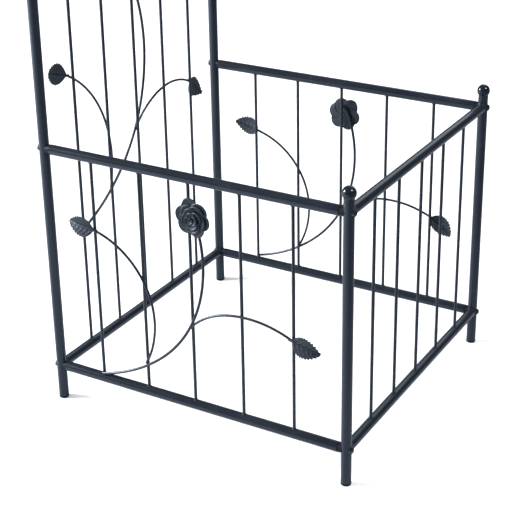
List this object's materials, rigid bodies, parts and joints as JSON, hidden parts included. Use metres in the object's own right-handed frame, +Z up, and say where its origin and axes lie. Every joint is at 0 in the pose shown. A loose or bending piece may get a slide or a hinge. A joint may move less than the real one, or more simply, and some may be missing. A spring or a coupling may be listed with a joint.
{
  "type": "garden trellis arch",
  "caption": "Round-topped walk-through steel trellis arch with an open barred plant stand on each side, wire vines with pressed leaves and roses, and ball finials.",
  "frame": {"origin": "on the ground, midway between all the feet", "axes": "+X towards the right-hand plant stand, +Y towards the rear along the way through, +Z up"},
  "size_m": [2.065, 0.5242, 2.112],
  "materials": {
    "frame_coat": "satin blue-black powder coat",
    "flower_coat": "glossier blue-black powder coat",
    "bolt_black": "black zinc, semi-gloss",
    "black_plastic": "moulded black plastic, matte"
  },
  "bodies": {
    "root": {"left_front_tall_post": "frame_coat", "left_rear_tall_post": "frame_coat", "left_side_low_rail": "frame_coat", "left_side_high_rail": "frame_coat", "left_side_rods": "frame_coat", "left_side_vine": "frame_coat", "left_front_short_post": "frame_coat", "left_rear_short_post": "frame_coat", "left_end_low_rail": "frame_coat", "left_end_high_rail": "frame_coat", "left_end_rods": "frame_coat", "left_front_low_rail": "frame_coat", "left_front_high_rail": "frame_coat", "left_front_rods": "frame_coat", "left_front_vine": "frame_coat", "left_rear_low_rail": "frame_coat", "left_rear_high_rail": "frame_coat", "left_rear_rods": "frame_coat", "left_rear_vine": "frame_coat", "left_front_hoop": "frame_coat", "left_rear_hoop": "frame_coat", "left_arch_low_rail": "frame_coat", "left_arch_high_rail": "frame_coat", "left_arch_rods": "frame_coat", "left_roof_rungs": "frame_coat", "left_leaves": "flower_coat", "left_roses": "flower_coat", "right_front_tall_post": "frame_coat", "right_rear_tall_post": "frame_coat", "right_side_low_rail": "frame_coat", "right_side_high_rail": "frame_coat", "right_side_rods": "frame_coat", "right_side_vine": "frame_coat", "right_front_short_post": "frame_coat", "right_rear_short_post": "frame_coat", "right_end_low_rail": "frame_coat", "right_end_high_rail": "frame_coat", "right_end_rods": "frame_coat", "right_front_low_rail": "frame_coat", "right_front_high_rail": "frame_coat", "right_front_rods": "frame_coat", "right_front_vine": "frame_coat", "right_rear_low_rail": "frame_coat", "right_rear_high_rail": "frame_coat", "right_rear_rods": "frame_coat", "right_rear_vine": "frame_coat", "right_front_hoop": "frame_coat", "right_rear_hoop": "frame_coat", "right_arch_low_rail": "frame_coat", "right_arch_high_rail": "frame_coat", "right_arch_rods": "frame_coat", "right_roof_rungs": "frame_coat", "right_leaves": "flower_coat", "right_roses": "flower_coat", "finials": "flower_coat", "foot_plugs": "black_plastic", "rail_end_plugs": "black_plastic", "panel_bolts": "bolt_black", "joint_sleeves": "frame_coat", "joint_screws": "bolt_black"}
  },
  "joints": []
}
